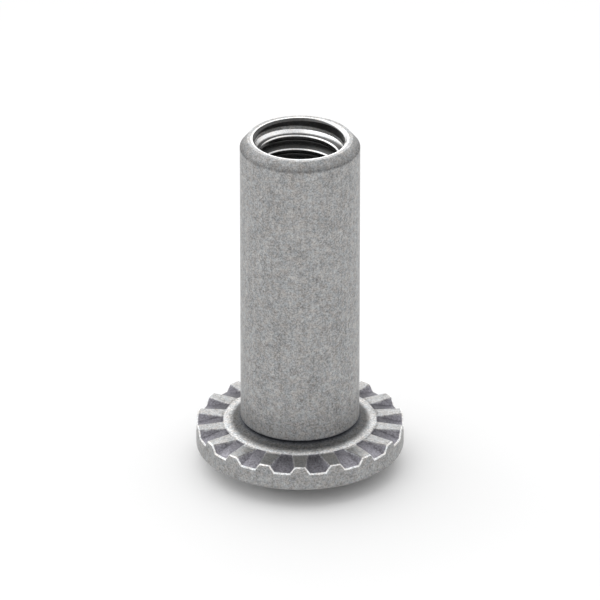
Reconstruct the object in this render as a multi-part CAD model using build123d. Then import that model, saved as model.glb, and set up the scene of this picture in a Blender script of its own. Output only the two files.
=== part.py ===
from build123d import *
from math import atan, degrees, hypot, radians, sin, sqrt, tan
import os

# A one-way barrel nut: a turned, threaded sleeve on a domed head. The seat under the head is
# serrated, and the head has a recess that only a tightening driver can push against.
#
# Frame: the axis is Z. The nut stands on its head, its lowest point at z = 0, with the open end
# of the barrel up. While it is being built, z = 0 is the crown the dome would have without its
# recess, and the whole nut is moved to its standing height at the end. Millimetres.

# head
head_diameter = 14.0
crown_radius = 18.5           # of the dome's flat middle
shoulder_start = 5.0          # from the axis, where the dome starts to round down to the rim
shoulder_slope = 34.0         # the dome's fall where it meets the rim
rim_height = 1.16             # at the valleys between the serrations
rim_edge_round = 0.12         # along the rim's foot, where the dome begins

# serrations on the seat: the valleys between them rise to nothing where the flare begins
tooth_count = 18
tooth_height = 0.5            # at the rim
tooth_foot_share = 0.56       # of the pitch, at the valley floor
tooth_flank_angle = 35.0      # from the axis
tooth_round = 0.12            # along the top of each flank
rim_edge_break = 0.07         # burnished edge along the rim's toothed outline

# neck, between the serrations and the barrel
neck_flare_radius = 5.15      # where the flare starts, level with the teeth
neck_height = 0.95            # valley floor at the rim to the foot of the barrel
neck_undercut = 0.14          # the neck below the barrel's radius
neck_hollow = 0.35            # how far along its chord the flare's middle lies

# barrel
barrel_diameter = 8.0
barrel_length = 21.5          # valley floor at the rim to the open end
end_chamfer_height = 0.6
end_chamfer_width = 0.5

# tapped bore, as the thread's major diameter
thread_diameter = 6.0
thread_depth = 16.5
mouth_diameter = 6.3
mouth_chamfer_depth = 0.15
drill_point_angle = 118.0

# one-way recess; its depths are measured from the crown
slot_width = 1.4              # at the slot's floor
slot_depth = 1.6
slot_draft = 22.0
scoop_radius = 20.0           # of the curved floor the driver rides up on when it turns back
scoop_depth = 2.11
scoop_centre = 5.5            # the scoop's deepest point, from the axis
scoop_skew = 9.0              # each scoop is turned this much to the slot
scoop_offset = 0.65           # inner side of a scoop, from the slot's middle plane
recess_diameter = 12.9        # at the foot of the dome
recess_wall_draft = 22.0

head_radius = head_diameter / 2
barrel_radius = barrel_diameter / 2
thread_radius = thread_diameter / 2
mouth_radius = mouth_diameter / 2


# the dome is two arcs that meet without a corner
shoulder_start_sine = shoulder_start / crown_radius
shoulder_radius = (head_radius - shoulder_start) / (sin(radians(shoulder_slope)) - shoulder_start_sine)
shoulder_centre = shoulder_start - shoulder_radius * shoulder_start_sine     # from the axis


def dome_depth(radius):
    """Depth of the dome's surface below its crown, at a distance from the axis."""
    if radius < shoulder_start:
        return crown_radius - sqrt(crown_radius**2 - radius**2)
    start_depth = crown_radius - sqrt(crown_radius**2 - shoulder_start**2)
    start_height = sqrt(shoulder_radius**2 - (shoulder_start - shoulder_centre)**2)
    return start_depth + start_height - sqrt(shoulder_radius**2 - (radius - shoulder_centre)**2)


def axis_distance(point):
    """How far a point lies from the nut's axis."""
    return hypot(point.X, point.Y)


rim_foot = dome_depth(head_radius)
seat = rim_foot + rim_height                # the valley floor at the rim
crest = seat + tooth_height
barrel_foot = seat + neck_height
open_end = seat + barrel_length
clear = head_radius                         # reach of the cutting bodies past what they cut
touch = 0.01                                # how near a point counts as lying on a surface
along = (0, 0.5, 1)                         # where an edge is looked at: its ends and its middle
seam_turn = -2 * 360 / tooth_count          # keeps the turned body's seam in the middle of a tooth


def blank():
    """Head, neck and barrel turned in one piece, with the head still flat and proud of its size."""
    neck_radius = barrel_radius - neck_undercut
    proud = head_radius + tooth_height / 2
    floor_slope = tooth_height / (head_radius - neck_flare_radius)
    with BuildPart() as body:
        with BuildSketch(Plane.XZ):
            with BuildLine():
                Polyline((0, 0), (proud, 0), (proud, seat + (head_radius - proud) * floor_slope),
                         (neck_flare_radius, crest))
                foot = Line((neck_radius, barrel_foot - neck_undercut), (barrel_radius, barrel_foot))
                flare_middle = (neck_radius + neck_hollow * (neck_flare_radius - neck_radius),
                                crest + neck_hollow * (neck_height - tooth_height - neck_undercut))
                ThreePointArc((neck_flare_radius, crest), flare_middle, foot @ 0)
                Polyline(
                    foot @ 1,
                    (barrel_radius, open_end - end_chamfer_height),
                    (barrel_radius - end_chamfer_width, open_end),
                    (0, open_end),
                    (0, 0),
                )
            make_face()
        revolve(axis=Axis.Z)
    return body.part


def serrations():
    """The radial teeth, with rounded crests that widen towards the flare as the valleys rise."""
    half_pitch = tan(radians(180 / tooth_count))
    lean = tooth_height * tan(radians(tooth_flank_angle))
    rim_to_flare = head_radius - neck_flare_radius
    inner = (barrel_radius + neck_flare_radius) / 2
    outer = head_radius + tooth_height
    half_inner, half_outer = [
        radius * half_pitch * tooth_foot_share + lean * (head_radius - radius) / rim_to_flare
        for radius in (inner, outer)
    ]
    flank_turn = degrees(atan((half_outer - half_inner) / (outer - inner)))
    section = Polygon((0, seat), (-lean, crest), (-head_radius, crest), (-head_radius, seat),
                      align=None)
    flank_top = section.vertices().sort_by_distance((-lean, crest, 0))[0]
    section = fillet(flank_top, tooth_round)
    flank = extrude(Plane.YZ * section, amount=outer - inner)
    flank = Pos(inner, half_inner, 0) * Rot(0, 0, flank_turn) * flank
    tooth = flank & mirror(flank, about=Plane.XZ)
    return [Rot(0, 0, 360 * n / tooth_count) * tooth for n in range(tooth_count)]


def head_form():
    """The form the head is turned down to: dome, rounded foot of the rim, and full diameter."""
    crown_middle = shoulder_start / 2
    shoulder_middle = (shoulder_start + head_radius) / 2
    top = open_end + clear
    with BuildPart() as form:
        with BuildSketch(Plane.XZ) as outline:
            with BuildLine():
                crown = ThreePointArc((0, 0), (crown_middle, dome_depth(crown_middle)),
                                      (shoulder_start, dome_depth(shoulder_start)))
                ThreePointArc(crown @ 1, (shoulder_middle, dome_depth(shoulder_middle)),
                              (head_radius, rim_foot))
                Polyline((head_radius, rim_foot), (head_radius, top), (0, top), (0, 0))
            make_face()
            rim_corner = outline.vertices().sort_by_distance((head_radius, 0, rim_foot))[0]
            fillet(rim_corner, rim_edge_round)
        revolve(axis=Axis.Z)
    return form.part


def burnished(body):
    """The body with the rim's toothed outline broken."""
    toothed = [edge for edge in body.edges()
               if all(axis_distance(edge @ share) > head_radius - touch for share in along)
               and min((edge @ share).Z for share in along) > seat - touch]
    return chamfer(toothed, rim_edge_break)


def bore():
    """The blind hole of the thread, with its drill point and a broken edge at the mouth."""
    tip = thread_radius / tan(radians(drill_point_angle / 2))
    floor = open_end - thread_depth
    with BuildPart() as hole:
        with BuildSketch(Plane.XZ):
            with BuildLine():
                Polyline(
                    (0, floor - tip),
                    (thread_radius, floor),
                    (thread_radius, open_end - mouth_chamfer_depth),
                    (mouth_radius, open_end),
                    (mouth_radius, open_end + clear),
                    (0, open_end + clear),
                    close=True,
                )
            make_face()
        revolve(axis=Axis.Z)
    return hole.part


def slot():
    """The straight slot across the head, with drafted sides and a flat floor."""
    floor = slot_width / 2
    mouth = floor + (slot_depth + clear) * tan(radians(slot_draft))
    section = Plane.YZ * Polygon((-floor, slot_depth), (floor, slot_depth), (mouth, -clear),
                                 (-mouth, -clear), align=None)
    return extrude(section, amount=head_radius, both=True)


def scoop():
    """The hollow beside one half of the slot: a curved floor that rises away from the slot's end."""
    width = head_diameter
    drum = Cylinder(scoop_radius, width, rotation=(90, 0, 0))
    placed = Pos(-scoop_centre, scoop_offset + width / 2, scoop_depth - scoop_radius) * drum
    return Rot(0, 0, scoop_skew) * placed


def recess():
    """Slot and scoops, kept inside the drafted outer wall near the rim."""
    slope = tan(radians(recess_wall_draft))
    top = recess_diameter / 2 + (dome_depth(recess_diameter / 2) + clear) * slope
    bottom = recess_diameter / 2 - (seat - dome_depth(recess_diameter / 2)) * slope
    wall = Pos(0, 0, (seat - clear) / 2) * Rot(0, 0, 45) * Cone(top, bottom, seat + clear)
    return (slot() + [Rot(0, 0, turn) * scoop() for turn in (0, 180)]) & wall


turn = Rot(0, 0, seam_turn)
nut = turn * blank() + serrations()
nut = burnished(nut & (turn * head_form()))
nut = nut - bore() - recess()
lowest = nut.bounding_box().min.Z
barrel_nut = Pos(0, 0, -lowest) * nut

os.makedirs("parts", exist_ok=True)
export_step(barrel_nut, "parts/barrel_nut.step")
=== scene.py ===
import math
from types import SimpleNamespace

import bpy
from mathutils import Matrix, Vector


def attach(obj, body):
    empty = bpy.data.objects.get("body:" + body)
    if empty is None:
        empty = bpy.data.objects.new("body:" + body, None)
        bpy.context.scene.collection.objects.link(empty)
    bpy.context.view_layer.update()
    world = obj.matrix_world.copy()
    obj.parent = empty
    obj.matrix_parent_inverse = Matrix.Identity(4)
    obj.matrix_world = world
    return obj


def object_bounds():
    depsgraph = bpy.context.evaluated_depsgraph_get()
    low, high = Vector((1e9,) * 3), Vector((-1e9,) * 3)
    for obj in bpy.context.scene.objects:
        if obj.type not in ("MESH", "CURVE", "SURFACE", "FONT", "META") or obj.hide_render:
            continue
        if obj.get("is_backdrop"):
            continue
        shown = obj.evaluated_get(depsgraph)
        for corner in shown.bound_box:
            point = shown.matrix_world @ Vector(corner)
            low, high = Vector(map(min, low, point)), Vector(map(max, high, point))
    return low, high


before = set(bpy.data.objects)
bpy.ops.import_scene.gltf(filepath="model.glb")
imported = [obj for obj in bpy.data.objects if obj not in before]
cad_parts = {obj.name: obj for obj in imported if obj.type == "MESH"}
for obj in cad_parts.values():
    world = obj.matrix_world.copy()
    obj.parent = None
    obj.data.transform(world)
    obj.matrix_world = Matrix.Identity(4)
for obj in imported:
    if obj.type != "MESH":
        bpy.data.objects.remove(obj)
cad_low, cad_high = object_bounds()

MM = 0.001

# sizes of the nut that its finish and its thread follow, in metres
head_radius = (cad_high.x - cad_low.x) / 2
open_end = cad_high.z
barrel_length = 21.5 * MM
barrel_radius = 4.0 * MM
neck_height = 0.95 * MM
neck_undercut = 0.14 * MM
neck_flare_radius = 5.15 * MM
rim_height = 1.16 * MM
tooth_count = 18
tooth_height = 0.5 * MM
tooth_foot_share = 0.56         # of the pitch, at the valley floor
tooth_flank_angle = math.radians(35.0)
crown_radius = 18.5 * MM
shoulder_start = 5.0 * MM       # from the axis, where the dome starts to round down to the rim
shoulder_slope = math.radians(34.0)
end_chamfer_height = 0.6 * MM
mouth_radius = 3.15 * MM
thread_major_radius = 3.0 * MM
thread_minor_radius = 2.56 * MM
thread_pitch = 1.0 * MM
thread_turns = 15.0
thread_start = 0.53 * MM        # below the open end, where the first full crest begins

seat = open_end - barrel_length
crest = seat + tooth_height
barrel_foot = seat + neck_height
chamfer_foot = open_end - end_chamfer_height
dome_edge = seat - rim_height
shoulder_radius = (head_radius - shoulder_start) / (math.sin(shoulder_slope) - shoulder_start / crown_radius)
shoulder_centre = shoulder_start * (1 - shoulder_radius / crown_radius)     # from the axis
shoulder_middle = dome_edge + shoulder_radius * math.cos(shoulder_slope)    # height of the same centre
crown_tilt = math.asin(shoulder_start / crown_radius)
crown_middle = shoulder_middle + (crown_radius - shoulder_radius) * math.cos(crown_tilt)

# the steel's shade on each part, from 0 to 1, some of them painted shade or painted highlights
barrel_shade = 0.335
recess_shade = 0.45
dome_shade = 0.52
# painted shade: the end chamfer darkens towards its foot
chamfer_foot_painted_shade, chamfer_top_shade = 0.22, 0.36
# painted shade: a dark line along the crease at the chamfer's foot
chamfer_line_painted_shade = 0.10
# painted highlight: the land is near white along the mouth's inner edge
land_edge_painted_highlight, land_outer_shade = 0.90, 0.38
# painted shade on the flare next to the barrel, turning into a painted highlight at its outer edge
flare_painted_shade, flare_painted_highlight = 0.13, 0.66
seat_shade = 0.38
# painted shade in the valleys between the teeth, darkest at their inner ends
valley_inner_painted_shade, valley_outer_painted_shade = 0.12, 0.24
# painted highlight along the rim's worn edge
rim_line_painted_highlight = 0.80
# painted shade in the groove under the barrel's foot
groove_painted_shade = 0.06
# painted shade on the bore's flanks and painted highlights on its crest line and first turn's root
bore_painted_shade, bore_painted_highlight = 0.09, 0.95
darkest_grain = 0.2

# tints of the steel, as red, green, blue and alpha, the last two tinting painted shade
cool_steel = (0.970, 1.0, 1.022, 1.0)
warm_steel = (1.036, 1.0, 0.966, 1.0)
# a bluish tint of the painted shade in the valleys
valley_painted_shade_tint = (0.99, 0.96, 1.09, 1.0)
# a bluish tint of the painted shade in the groove under the barrel's foot
groove_painted_shade_tint = (0.92, 0.98, 1.12, 1.0)

# how rough each part is
barrel_rough = 0.46
recess_rough = 0.29
dome_rough = 0.21
chamfer_rough = 0.48
worn_edge_rough = 0.28
seat_rough, valley_rough = 0.36, 0.40
flare_rough = 0.62
bore_rough = 0.30

white = (1.0, 1.0, 1.0, 1.0)
black = (0.0, 0.0, 0.0, 1.0)


# --- node building -------------------------------------------------------------------------


class Nodes:
    """A small helper that adds nodes to one tree and links them."""

    def __init__(self, tree):
        self.tree = tree
        tree.nodes.clear()

    def add(self, kind, links=None, **settings):
        node = self.tree.nodes.new(kind)
        for name, value in settings.items():
            setattr(node, name, value)
        for key, value in (links or {}).items():
            self.fill(node.inputs[key], value)
        return node

    def fill(self, socket, value):
        """Links a socket to another one, or gives it a plain value."""
        if isinstance(value, bpy.types.NodeSocket):
            self.tree.links.new(value, socket)
        else:
            socket.default_value = value

    def math(self, operation, a, b=0.0, clamp=False):
        node = self.add("ShaderNodeMath", {0: a, 1: b}, operation=operation, use_clamp=clamp)
        return node.outputs[0]

    def total(self, first, *others):
        for other in others:
            first = self.math("ADD", first, other)
        return first

    def product(self, first, *others):
        for other in others:
            first = self.math("MULTIPLY", first, other)
        return first

    def less(self, a, b, clamp=False):
        return self.math("SUBTRACT", a, b, clamp=clamp)

    def inverse(self, mask):
        return self.less(1.0, mask)

    def length(self, a, b):
        """The long side of a right triangle."""
        return self.math("SQRT", self.total(self.product(a, a), self.product(b, b)))

    def ramp(self, value, low, high, to_low=0.0, to_high=1.0, smooth=True):
        """A value's range mapped on another one, held at its ends."""
        node = self.add(
            "ShaderNodeMapRange",
            {"Value": value, "From Min": low, "From Max": high, "To Min": to_low, "To Max": to_high},
            interpolation_type="SMOOTHSTEP" if smooth else "LINEAR",
        )
        return node.outputs["Result"]

    def fall(self, value, low, high):
        """1 below a range, falling to 0 above it."""
        return self.ramp(value, low, high, 1.0, 0.0)

    def band(self, value, low, high, soft):
        """1 between two values, fading to 0 past each of them."""
        return self.product(self.ramp(value, low - soft, low + soft),
                            self.fall(value, high - soft, high + soft))

    def mix(self, share, a, b):
        node = self.add("ShaderNodeMix", {"Factor": share, "A": a, "B": b}, data_type="FLOAT")
        return node.outputs["Result"]

    def tint(self, share, a, b, blend="MIX"):
        """Two colours mixed; the node's colour sockets are found by their place."""
        node = self.add("ShaderNodeMix", {0: share, 6: a, 7: b}, data_type="RGBA", blend_type=blend)
        return node.outputs[2]

    def noise(self, vector, scale, detail=3.0, roughness=0.5, distortion=0.0):
        """Noise about 0 in its middle."""
        node = self.add(
            "ShaderNodeTexNoise",
            {"Vector": vector, "Scale": scale, "Detail": detail, "Roughness": roughness,
             "Distortion": distortion},
        )
        return self.less(node.outputs["Fac"], 0.5)

    def mapped(self, vector, **settings):
        """A vector moved by a Location or stretched by a Scale."""
        return self.add("ShaderNodeMapping", {"Vector": vector, **settings}).outputs[0]

    def split(self, vector):
        """The X, Y and Z of a vector."""
        return self.add("ShaderNodeSeparateXYZ", {0: vector}).outputs


# --- stainless steel -----------------------------------------------------------------------


def stainless_steel():
    """Turned and tumbled stainless steel: grained grey, polished dome, worn edges painted bright as
    highlights, and painted shade and highlights on the flare, in the valleys, the neck groove and the bore.
    """
    material = bpy.data.materials.new("stainless_steel")
    material.use_nodes = True
    n = Nodes(material.node_tree)
    spot = surface_spot(n)
    parts = surface_parts(n, spot)
    grain = metal_grain(n, spot)
    shade = n.product(part_shade(n, spot, parts), grain_shade(n, parts, grain))
    shader = n.add("ShaderNodeBsdfPrincipled", {
        "Base Color": tinted(n, spot, parts, shade),
        "Roughness": part_roughness(n, parts, grain),
        "Metallic": 1.0,
        "Normal": relief(n, spot, parts, grain),
    })
    n.add("ShaderNodeOutputMaterial", {"Surface": shader.outputs[0]})
    return material


def surface_spot(n):
    """Where a point of the surface lies: its place, height and distance from the axis."""
    place = n.add("ShaderNodeTexCoord").outputs["Object"]
    axes = n.split(place)
    radius = n.length(axes["X"], axes["Y"])
    wander = n.product(n.noise(place, 2400.0, 3.0, 0.6), 0.5 * MM)
    return SimpleNamespace(
        place=place,
        height=axes["Z"],
        radius=radius,
        strayed=n.total(radius, wander),        # the radius made uneven, for the ragged worn edges of the flare's painted shade and highlight and of the valleys' painted shade
        angle=n.math("ARCTAN2", axes["Y"], axes["X"]),
        facing_up=n.split(n.add("ShaderNodeNewGeometry").outputs["True Normal"])["Z"],
    )


def surface_parts(n, spot):
    """Masks, each 1 on one part of the surface and 0 elsewhere."""
    height, radius, facing_up = spot.height, spot.radius, spot.facing_up
    dome = dome_mask(n, spot)
    recess = n.product(n.fall(height, seat - 0.3 * MM, seat - 0.1 * MM),
                       n.fall(radius, head_radius - 0.3 * MM, head_radius - 0.2 * MM),
                       n.inverse(dome))
    above_head = n.ramp(height, barrel_foot - 0.2 * MM, barrel_foot)
    inside = n.fall(radius, mouth_radius - 0.01 * MM, mouth_radius + 0.01 * MM)
    outside = n.inverse(inside)
    end_chamfer = n.ramp(height, chamfer_foot - 0.02 * MM, chamfer_foot + 0.04 * MM)
    chamfer_line = n.band(height, chamfer_foot - 0.05 * MM, chamfer_foot + 0.05 * MM, 0.10 * MM)
    land = n.ramp(height, open_end - 0.06 * MM, open_end - 0.02 * MM)
    groove_foot = barrel_foot - neck_undercut - 0.1 * MM
    flare = n.product(
        n.band(height, crest - 0.08 * MM, barrel_foot, 0.02 * MM),
        n.fall(spot.strayed, neck_flare_radius + 0.08 * MM, neck_flare_radius + 0.22 * MM),
    )
    seat_face = n.product(
        n.band(height, seat - 0.05 * MM, crest + 0.02 * MM, 0.01 * MM),
        n.ramp(facing_up, 0.2, 0.5),
        n.ramp(radius, neck_flare_radius - 0.05 * MM, neck_flare_radius + 0.1 * MM),
    )
    rim_line = n.product(
        n.ramp(radius, head_radius - 0.11 * MM, head_radius - 0.08 * MM),
        n.ramp(height, seat - 0.12 * MM, seat - 0.09 * MM),
        n.ramp(facing_up, 0.15, 0.4),
    )
    return SimpleNamespace(
        dome=dome,
        recess=recess,
        above_head=above_head,
        bore=n.product(above_head, inside),
        end_chamfer=n.product(end_chamfer, outside),
        chamfer_line=n.product(chamfer_line, outside),
        land=n.product(land, outside),
        groove=n.band(height, groove_foot, barrel_foot + 0.02 * MM, 0.08 * MM),
        flare=flare,
        seat_face=seat_face,
        valley=n.product(seat_face, valley_mask(n, spot)),
        rim_line=rim_line,
    )


def dome_mask(n, spot):
    """1 on the dome's own two arcs, 0 on the recess, the rim and the rest."""

    def off_arc(centre_radius, centre_height, arc_radius):
        reach = n.length(n.less(spot.radius, centre_radius), n.less(spot.height, centre_height))
        return n.math("ABSOLUTE", n.less(reach, arc_radius))

    past_crown = n.math("GREATER_THAN", spot.radius, shoulder_start)
    off = n.mix(past_crown, off_arc(0.0, crown_middle, crown_radius),
                off_arc(shoulder_centre, shoulder_middle, shoulder_radius))
    below_rim = n.fall(spot.height, dome_edge - 0.02 * MM, dome_edge + 0.02 * MM)
    return n.product(n.fall(off, 0.03 * MM, 0.06 * MM), below_rim)


def valley_mask(n, spot):
    """1 between the crests of the serrations, which widen towards the flare."""
    half_pitch = math.pi / tooth_count
    lean = tooth_height * math.tan(tooth_flank_angle)
    wrapped = n.add("ShaderNodeMath", {0: spot.angle, 1: half_pitch, 2: -half_pitch}, operation="WRAP")
    side = n.product(n.math("ABSOLUTE", wrapped.outputs[0]), spot.radius)
    inward = n.math("DIVIDE", n.less(head_radius, spot.radius), head_radius - neck_flare_radius)
    half_crest = n.total(n.product(spot.radius, math.tan(half_pitch) * tooth_foot_share),
                         n.product(n.less(inward, 1.0), lean))
    worn = n.product(n.noise(spot.place, 4000.0, 2.0, 0.6), 0.2 * MM)
    return n.ramp(n.total(n.less(side, half_crest), worn), -0.02 * MM, 0.10 * MM)


def metal_grain(n, spot):
    """The metal's own unevenness at four sizes."""
    drawn = n.mapped(spot.place, Scale=(5200.0, 5200.0, 200.0))
    return SimpleNamespace(
        clouds=n.noise(spot.place, 900.0, 3.0, 0.55),
        blotches=n.noise(spot.place, 2600.0, 3.0, 0.6, 0.4),
        fine=n.noise(spot.place, 8300.0, 2.0, 0.8),
        streaks=n.noise(drawn, 1.0, 2.0, 0.6),      # along the barrel
    )


def grain_shade(n, parts, grain):
    """How much the grain lightens or darkens the metal, about 1 in its middle."""
    mottle = n.total(
        n.product(grain.clouds, 0.45),
        n.product(grain.blotches, 0.65),
        n.product(grain.fine, 2.1),
        n.product(grain.streaks, parts.above_head, 0.35),
    )
    calm = n.mix(parts.dome, n.mix(parts.recess, 1.0, 0.45), 0.30)
    calm = n.mix(parts.bore, calm, 0.5)
    return n.math("MAXIMUM", n.total(1.0, n.product(mottle, calm)), darkest_grain)


def part_shade(n, spot, parts):
    """The steel's shade on each part, before the grain, with painted shade and painted highlights on several
    parts.
    """
    radius = spot.radius
    shade = n.mix(parts.dome, n.mix(parts.recess, barrel_shade, recess_shade), dome_shade)
    # painted shade: the end chamfer darkens towards its foot
    chamfer_painted_shade = n.ramp(spot.height, chamfer_foot, open_end, chamfer_foot_painted_shade, chamfer_top_shade)
    shade = n.mix(parts.end_chamfer, shade, chamfer_painted_shade)
    # painted shade: a dark line along the crease at the chamfer's foot
    shade = n.mix(n.product(parts.chamfer_line, 0.6), shade, chamfer_line_painted_shade)
    # painted highlight: the land is near white along the mouth's inner edge
    land_with_painted_highlight = n.ramp(radius, mouth_radius + 0.06 * MM, mouth_radius + 0.16 * MM,
                        land_edge_painted_highlight, land_outer_shade)
    shade = n.mix(parts.land, shade, land_with_painted_highlight)
    # painted shade on the flare next to the barrel, turning into a painted highlight at its outer edge
    flare_painted_light = n.ramp(radius, barrel_radius + 0.4 * MM, neck_flare_radius - 0.2 * MM,
                         flare_painted_shade, flare_painted_highlight)
    shade = n.mix(parts.flare, shade, flare_painted_light)
    shade = n.mix(parts.seat_face, shade, seat_shade)
    # painted shade in the valleys between the teeth, darkest at their inner ends
    valley_painted_shade = n.ramp(spot.strayed, neck_flare_radius, head_radius, valley_inner_painted_shade,
                          valley_outer_painted_shade)
    shade = n.mix(parts.valley, shade, valley_painted_shade)
    # painted highlight along the rim's worn edge
    shade = n.mix(parts.rim_line, shade, rim_line_painted_highlight)
    # painted shade in the groove under the barrel's foot
    shade = n.mix(n.product(parts.groove, 0.7), shade, groove_painted_shade)
    # painted shade and painted highlights in the bore
    return n.mix(parts.bore, shade, painted_bore_light(n, spot))


def painted_bore_light(n, spot):
    """Painted shade on the bore's flanks, with painted highlights on the thread's crest line and the first
    turn's root.
    """
    depth = n.less(open_end, spot.height)
    first_turn = n.fall(depth, 0.9 * MM, 1.1 * MM)
    root = n.product(n.band(above_crest(n, spot), 0.30, 0.72, 0.05), first_turn)
    crest_line = n.band(spot.radius, thread_minor_radius + 0.05 * MM, thread_minor_radius + 0.12 * MM,
                        0.02 * MM)
    return n.mix(crest_line, n.mix(root, bore_painted_shade, bore_painted_highlight), bore_painted_highlight)


def above_crest(n, spot):
    """How far above the thread's crest a point of the bore lies, from 0 to 1 pitch."""
    turned = n.math("DIVIDE", spot.angle, 2 * math.pi)
    risen = n.math("DIVIDE", n.less(spot.height, open_end - thread_start), thread_pitch)
    return n.math("FRACT", n.less(risen, turned))


def tinted(n, spot, parts, shade):
    """The shade as a colour, a little warm or cool from place to place, with a bluish tint in the painted
    shade of the valleys and the groove.
    """
    elsewhere = n.mapped(spot.place, Location=(0.05, 0.05, 0.05))
    warmth = n.ramp(n.noise(elsewhere, 3400.0, 2.0, 0.6), -0.15, 0.15, smooth=False)
    metal = n.tint(warmth, cool_steel, warm_steel)
    # a bluish tint of the valleys' painted shade, kept off the rim's painted highlight
    shaded = n.product(parts.valley, n.less(0.8, parts.rim_line, clamp=True))
    metal = n.tint(shaded, metal, valley_painted_shade_tint)
    # a bluish tint of the groove's painted shade
    metal = n.tint(n.product(parts.groove, 0.8), metal, groove_painted_shade_tint)
    level = n.add("ShaderNodeCombineColor", {0: shade, 1: shade, 2: shade}).outputs[0]
    return n.tint(1.0, metal, level, "MULTIPLY")


def part_roughness(n, parts, grain):
    """Matt where the nut was tumbled, smoother on the dome, in the recess and on worn edges."""
    blotches = grain.blotches
    rough = n.less(barrel_rough, n.product(blotches, 0.3))
    rough = n.mix(parts.recess, rough, n.total(recess_rough, n.product(blotches, 0.4)))
    rough = n.mix(parts.dome, rough, n.total(dome_rough, n.product(blotches, 0.3)))
    rough = n.mix(parts.end_chamfer, rough, chamfer_rough)
    rough = n.mix(n.math("MAXIMUM", parts.land, parts.rim_line), rough, worn_edge_rough)
    rough = n.mix(parts.seat_face, rough, n.mix(parts.valley, seat_rough, valley_rough))
    rough = n.mix(parts.flare, rough, flare_rough)
    return n.mix(parts.bore, rough, bore_rough)


def relief(n, spot, parts, grain):
    """The surface's direction, with its fine grain and the lip where the flare meets the teeth."""
    calm = n.mix(parts.dome, n.mix(parts.recess, 1.0, 0.3), 0.15)
    rise = n.product(n.total(n.product(grain.fine, 0.6), n.product(grain.blotches, 0.4)), calm)
    grained = n.add("ShaderNodeBump", {"Height": rise, "Strength": 0.35, "Distance": 0.03 * MM})
    lip = n.product(
        n.fall(spot.radius, neck_flare_radius - 0.35 * MM, neck_flare_radius + 0.25 * MM),
        n.ramp(spot.height, crest - 0.25 * MM, crest - 0.1 * MM),
    )
    raised = n.add("ShaderNodeBump", {"Height": lip, "Strength": 1.0, "Distance": 0.17 * MM,
                                      "Normal": grained.outputs[0]})
    return raised.outputs[0]


# --- thread --------------------------------------------------------------------------------


def thread_tree(sizes):
    """Geometry nodes: a helical ridge with a tapered section, fading out at both ends."""
    tree = bpy.data.node_groups.new("internal_thread", "GeometryNodeTree")
    face = tree.interface
    face.new_socket("Geometry", in_out="OUTPUT", socket_type="NodeSocketGeometry")
    ids = {}
    for name in sizes:
        ids[name] = face.new_socket(name, in_out="INPUT", socket_type="NodeSocketFloat").identifier
    ids["Steel"] = face.new_socket("Steel", in_out="INPUT", socket_type="NodeSocketMaterial").identifier

    n = Nodes(tree)
    given = n.add("NodeGroupInput").outputs
    steps_a_turn = 96
    steps_across = 8
    steps = n.total(n.product(given["Turns"], steps_a_turn), 1.0)
    grid = n.add("GeometryNodeMeshGrid", {"Size X": 1.0, "Size Y": 1.0, "Vertices X": steps,
                                          "Vertices Y": steps_across + 1})
    grid_spot = n.split(n.add("GeometryNodeInputPosition").outputs[0])
    turns = n.product(n.total(grid_spot["X"], 0.5), given["Turns"])
    across = n.total(grid_spot["Y"], 0.5)
    placed = thread_spot(n, given, turns, across)
    moved = n.add("GeometryNodeSetPosition", {"Geometry": grid.outputs["Mesh"], "Position": placed})
    real = n.add("GeometryNodeRealizeInstances", {"Geometry": moved.outputs[0]})
    done = n.add("GeometryNodeSetMaterial", {"Geometry": real.outputs[0], "Material": given["Steel"]})
    n.add("NodeGroupOutput", {"Geometry": done.outputs[0]})
    return tree, ids


def thread_spot(n, given, turns, across):
    """Where a point of the ridge lies, at a number of turns up and a share across its section."""
    flank_share = 0.80              # of half the section, the rest being the crest
    width_share = 0.98              # of the pitch
    fade_length = 0.625             # of a turn, at each end of the ridge
    sunk = 0.03 * MM                # how far the section's feet lie in the bore's wall
    side = n.math("ABSOLUTE", n.less(n.product(across, 2.0), 1.0))
    rise = n.math("MINIMUM", n.product(n.less(1.0, side), 1 / flank_share), 1.0)
    lead_in = n.math("MINIMUM", n.product(turns, 1 / fade_length), 1.0)
    lead_out = n.math("MINIMUM", n.product(n.less(given["Turns"], turns), 1 / fade_length), 1.0)
    fade = n.product(lead_in, lead_out)
    depth = n.less(given["Major Radius"], given["Minor Radius"])
    drop = n.product(rise, depth, fade)
    radius = n.less(n.total(given["Major Radius"], sunk), n.total(drop, n.product(fade, sunk)))
    lift = n.product(n.less(across, 0.5), n.product(given["Pitch"], width_share))
    height = n.total(given["Foot"], n.total(n.product(turns, given["Pitch"]), lift))
    angle = n.product(turns, 2 * math.pi)
    x = n.product(radius, n.math("COSINE", angle))
    y = n.product(radius, n.math("SINE", angle))
    return n.add("ShaderNodeCombineXYZ", {0: x, 1: y, 2: height}).outputs[0]


def plain_mesh(tree, ids, values, name):
    """The tree's result as a plain mesh object at the origin."""
    holder = bpy.data.objects.new(name + "_maker", bpy.data.meshes.new(name + "_maker"))
    bpy.context.scene.collection.objects.link(holder)
    modifier = holder.modifiers.new("maker", "NODES")
    modifier.node_group = tree
    for key, value in values.items():
        modifier[ids[key]] = value
    bpy.context.view_layer.update()
    seen = holder.evaluated_get(bpy.context.evaluated_depsgraph_get())
    mesh = bpy.data.meshes.new_from_object(seen)
    holder.modifiers.remove(modifier)
    bpy.data.objects.remove(holder)
    mesh.name = name
    made = bpy.data.objects.new(name, mesh)
    bpy.context.scene.collection.objects.link(made)
    return made


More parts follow.
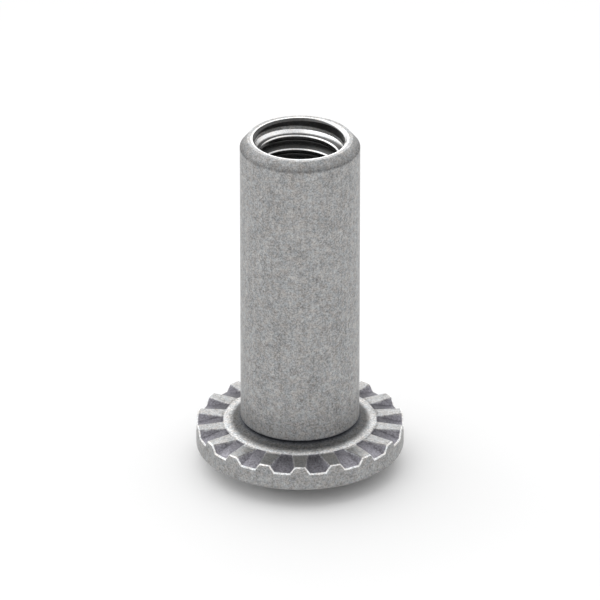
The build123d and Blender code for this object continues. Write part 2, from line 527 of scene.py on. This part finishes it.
def cut_thread(steel):
    """The thread's ridge in the bore, with flat-shaded flanks."""
    sizes = {
        "Major Radius": thread_major_radius,
        "Minor Radius": thread_minor_radius,
        "Pitch": thread_pitch,
        "Turns": thread_turns,
        "Foot": open_end - thread_start - thread_turns * thread_pitch,
    }
    tree, ids = thread_tree(sizes)
    ridge = plain_mesh(tree, ids, {**sizes, "Steel": steel}, "thread_ridge")
    for face in ridge.data.polygons:
        face.use_smooth = False
    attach(ridge, "root")


# --- studio --------------------------------------------------------------------------------


def floor_paint():
    """Pale paint that takes the nut's shadow and, further out, shows the camera plain white."""
    floor_shade = 0.86
    fade_start = 25 * MM
    fade_end = 80 * MM
    material = bpy.data.materials.new("white_table")
    material.use_nodes = True
    n = Nodes(material.node_tree)
    place = n.add("ShaderNodeTexCoord").outputs["Object"]
    away = n.add("ShaderNodeVectorMath", {0: place}, operation="LENGTH").outputs["Value"]
    seen = n.add("ShaderNodeLightPath").outputs["Is Camera Ray"]
    far = n.product(n.ramp(away, fade_start, fade_end), seen)
    paint = n.add("ShaderNodeBsdfDiffuse", {"Color": (floor_shade, floor_shade, floor_shade, 1.0)})
    plain = n.add("ShaderNodeEmission", {"Color": white, "Strength": 1.0})
    shader = n.add("ShaderNodeMixShader", {0: far, 1: paint.outputs[0], 2: plain.outputs[0]})
    n.add("ShaderNodeOutputMaterial", {"Surface": shader.outputs[0]})
    return material


def table():
    """A flat white floor, far wider than the nut."""
    half = 1.2
    mesh = bpy.data.meshes.new("table")
    mesh.from_pydata([(-half, -half, 0), (half, -half, 0), (half, half, 0), (-half, half, 0)], [],
                     [(0, 1, 2, 3)])
    mesh.materials.append(floor_paint())
    floor = bpy.data.objects.new("table", mesh)
    bpy.context.scene.collection.objects.link(floor)
    floor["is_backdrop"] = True


def surroundings():
    """White to the camera, bright round the horizon and dimmer overhead to everything else."""
    dimming_start = 0.75            # as the sine of the height above the horizon
    overhead_level = 0.45
    world = bpy.data.worlds.new("studio")
    bpy.context.scene.world = world
    world.use_nodes = True
    n = Nodes(world.node_tree)
    up = n.split(n.add("ShaderNodeTexCoord").outputs["Generated"])["Z"]
    level = n.ramp(up, dimming_start, 1.0, 1.0, overhead_level)
    sky = n.tint(level, black, white)
    rays = n.add("ShaderNodeLightPath").outputs
    colour = n.tint(rays["Is Camera Ray"], sky, white)
    back = n.add("ShaderNodeBackground", {"Color": colour, "Strength": 1.0})
    n.add("ShaderNodeOutputWorld", {"Surface": back.outputs[0]})


def soft_lamp(name, place, target, side, power):
    """A square lamp at a place, pointed at a target."""
    lamp = bpy.data.lights.new(name, "AREA")
    lamp.shape = "RECTANGLE"
    lamp.size = lamp.size_y = side
    lamp.energy = power
    holder = bpy.data.objects.new(name, lamp)
    holder.location = place
    holder.rotation_euler = (Vector(target) - Vector(place)).to_track_quat("-Z", "Y").to_euler()
    bpy.context.scene.collection.objects.link(holder)


def camera(azimuth, elevation, height_share):
    """A long lens at the given angle; the nut's height fills the given share of the frame."""
    lens = 490.0
    head_share = 0.8                # how much of the head's width counts as height when seen from above
    low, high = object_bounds()
    centre = (low + high) / 2
    data = bpy.data.cameras.new("camera")
    data.lens = lens
    data.sensor_width = 36.0
    a, e = math.radians(azimuth), math.radians(elevation)
    back = Vector((math.sin(a) * math.cos(e), -math.cos(a) * math.cos(e), math.sin(e)))
    tall = (high.z - low.z) * math.cos(e) + 2 * head_radius * math.sin(e) * head_share
    distance = tall / height_share * lens / data.sensor_width
    holder = bpy.data.objects.new("camera", data)
    holder.location = centre + back * distance
    holder.rotation_euler = (-back).to_track_quat("-Z", "Y").to_euler()
    data.clip_start, data.clip_end = distance * 0.05, distance * 40
    bpy.context.scene.collection.objects.link(holder)
    bpy.context.scene.camera = holder


steel = stainless_steel()
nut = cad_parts["barrel_nut"]
nut.data.materials.clear()
nut.data.materials.append(steel)
cut_thread(steel)
table()
surroundings()
soft_lamp("key", place=(-0.12, 0.14, 0.42), target=(0, 0, 0.01), side=0.7, power=1.5)
camera(azimuth=10.0, elevation=27.0, height_share=0.66)

bpy.context.scene.view_settings.view_transform = "Standard"
